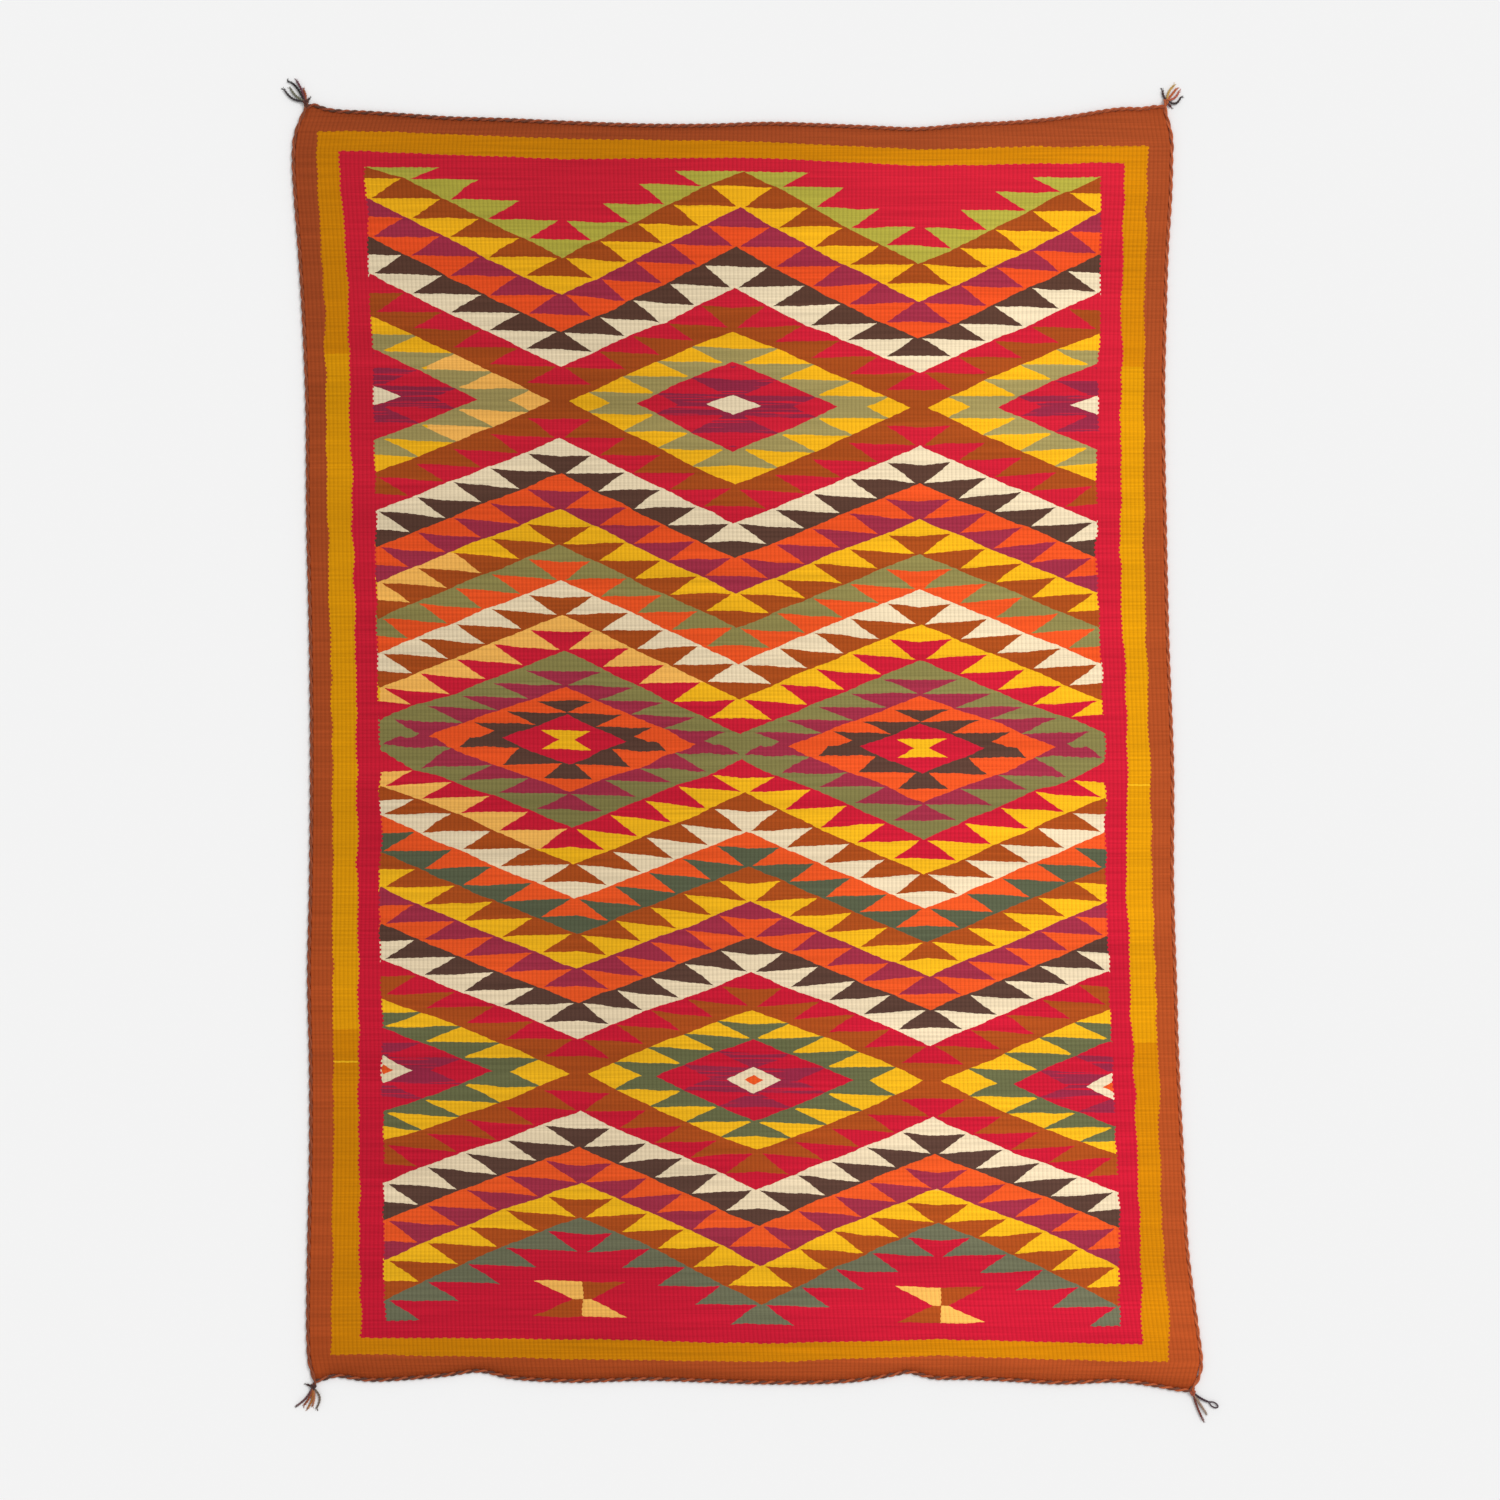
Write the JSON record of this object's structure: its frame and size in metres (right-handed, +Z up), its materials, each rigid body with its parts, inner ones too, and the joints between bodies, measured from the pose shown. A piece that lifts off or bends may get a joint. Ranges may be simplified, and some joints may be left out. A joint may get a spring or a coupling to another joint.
{
  "type": "navajo rug",
  "caption": "Flat hand-woven wool floor rug with a serrated diamond pattern, twined edge cords and knotted corner tassels.",
  "frame": {"origin": "on the floor, under the middle of the rug's box", "axes": "+X across the rug, +Y along it towards the end with the green serrated row, +Z up from the floor"},
  "size_m": [1.0308, 1.4758, 0.0054],
  "materials": {
    "woven_wool": "weft-faced hand-spun wool tapestry in red, rust, gold, cream, brown, orange, purple and green",
    "end_cord_yarn": "two-ply twined wool, dark brown with rust",
    "side_cord_yarn": "two-ply twined wool, rust with brown",
    "tassel_yarn": "loose plied wool ends in brown-black, rust, rose and gold"
  },
  "bodies": {
    "root": {"rug_panel": "woven_wool", "end_cord_bottom": "end_cord_yarn", "end_cord_top": "end_cord_yarn", "side_cord_left": "side_cord_yarn", "side_cord_right": "side_cord_yarn", "tassel_bottom_left": "tassel_yarn", "tassel_bottom_right": "tassel_yarn", "tassel_top_left": "tassel_yarn", "tassel_top_right": "tassel_yarn"}
  },
  "joints": []
}
